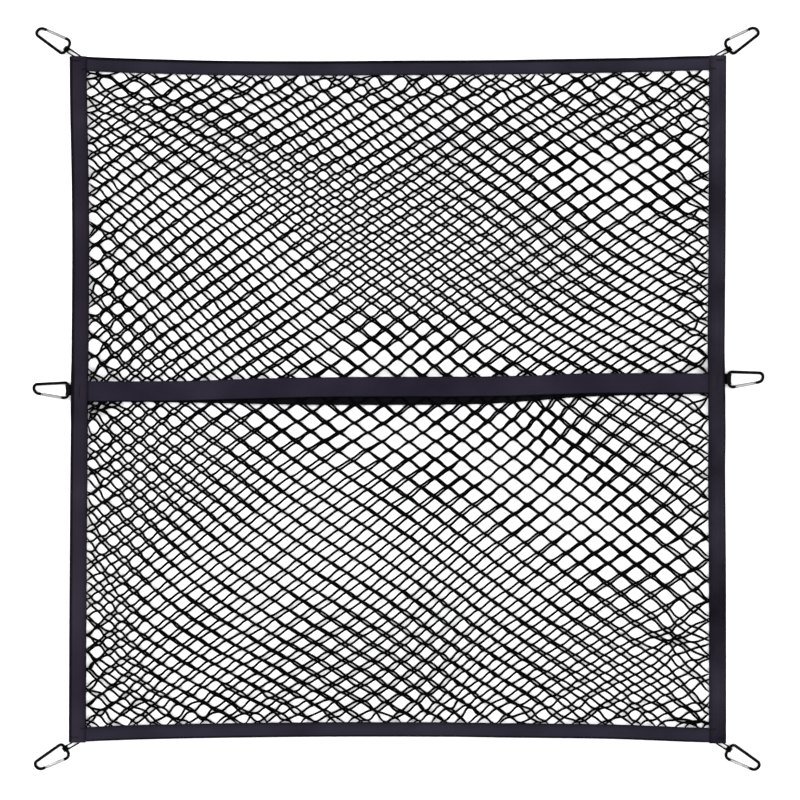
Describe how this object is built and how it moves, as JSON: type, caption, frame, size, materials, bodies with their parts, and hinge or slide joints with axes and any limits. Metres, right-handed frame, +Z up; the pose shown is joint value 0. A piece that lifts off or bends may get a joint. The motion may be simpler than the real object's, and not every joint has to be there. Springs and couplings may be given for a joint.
{
  "type": "cargo net",
  "caption": "Flat elastic cargo net of doubled diamond netting in a folded webbing border with a middle band, snap clips on cord loops at its corners and in webbing tabs at its sides.",
  "frame": {"origin": "middle of the footprint, on the surface that the net lies on", "axes": "+X across the net to the picture's right, +Y up the picture, +Z up off the surface"},
  "size_m": [1.0047, 1.0212, 0.0109],
  "materials": {
    "netting": "round knitted elastic cord, black, slight sheen",
    "webbing": "fine woven tape, near black with a slight violet cast, matte",
    "elastic": "braided elastic cord, black",
    "black_metal": "black anodised rod, satin",
    "bright_metal": "bright polished aluminium"
  },
  "bodies": {
    "net": {"net_back": "netting", "net_front": "netting", "border_left": "webbing", "border_right": "webbing", "border_top": "webbing", "border_bottom": "webbing", "band_front": "webbing", "band_back": "webbing", "tab_left": "webbing", "tab_right": "webbing", "cord_top_left": "elastic", "cord_top_right": "elastic", "cord_bottom_left": "elastic", "cord_bottom_right": "elastic", "clip_top_left": "black_metal", "clip_top_right": "black_metal", "clip_bottom_left": "black_metal", "clip_bottom_right": "black_metal", "clip_left": "black_metal", "clip_right": "black_metal"},
    "gate_top_left": {"gate_top_left": "bright_metal"},
    "gate_top_right": {"gate_top_right": "bright_metal"},
    "gate_bottom_left": {"gate_bottom_left": "bright_metal"},
    "gate_bottom_right": {"gate_bottom_right": "bright_metal"},
    "gate_left": {"gate_left": "bright_metal"},
    "gate_right": {"gate_right": "bright_metal"}
  },
  "joints": [
    {"name": "gate_top_left_swing", "type": "hinge", "parent": "net", "child": "gate_top_left", "pos_m": [-0.48396, 0.5055, 0.00247], "axis": [0.0396, -0.0294, -0.9988], "range_deg": [0, 28], "stiffness_Nm_per_rad": 0.03, "springref_deg": -28.65},
    {"name": "gate_top_right_swing", "type": "hinge", "parent": "net", "child": "gate_top_right", "pos_m": [0.47512, 0.5058, 0.00247], "axis": [0.0387, 0.0305, 0.9988], "range_deg": [0, 28], "stiffness_Nm_per_rad": 0.03, "springref_deg": -28.65},
    {"name": "gate_bottom_left_swing", "type": "hinge", "parent": "net", "child": "gate_bottom_left", "pos_m": [-0.48599, -0.50475, 0.00247], "axis": [-0.0402, -0.0285, 0.9988], "range_deg": [0, 28], "stiffness_Nm_per_rad": 0.03, "springref_deg": -28.65},
    {"name": "gate_bottom_right_swing", "type": "hinge", "parent": "net", "child": "gate_bottom_right", "pos_m": [0.47656, -0.50559, 0.00247], "axis": [-0.04, 0.0287, -0.9988], "range_deg": [0, 28], "stiffness_Nm_per_rad": 0.03, "springref_deg": -28.65},
    {"name": "gate_left_swing", "type": "hinge", "parent": "net", "child": "gate_left", "pos_m": [-0.49141, 0.00646, 0.00239], "axis": [-0.0419, -0.0022, 0.9991], "range_deg": [0, 28], "stiffness_Nm_per_rad": 0.03, "springref_deg": -28.65},
    {"name": "gate_right_swing", "type": "hinge", "parent": "net", "child": "gate_right", "pos_m": [0.48551, 0.02197, 0.00239], "axis": [-0.0419, 0.0013, -0.9991], "range_deg": [0, 28], "stiffness_Nm_per_rad": 0.03, "springref_deg": -28.65}
  ]
}
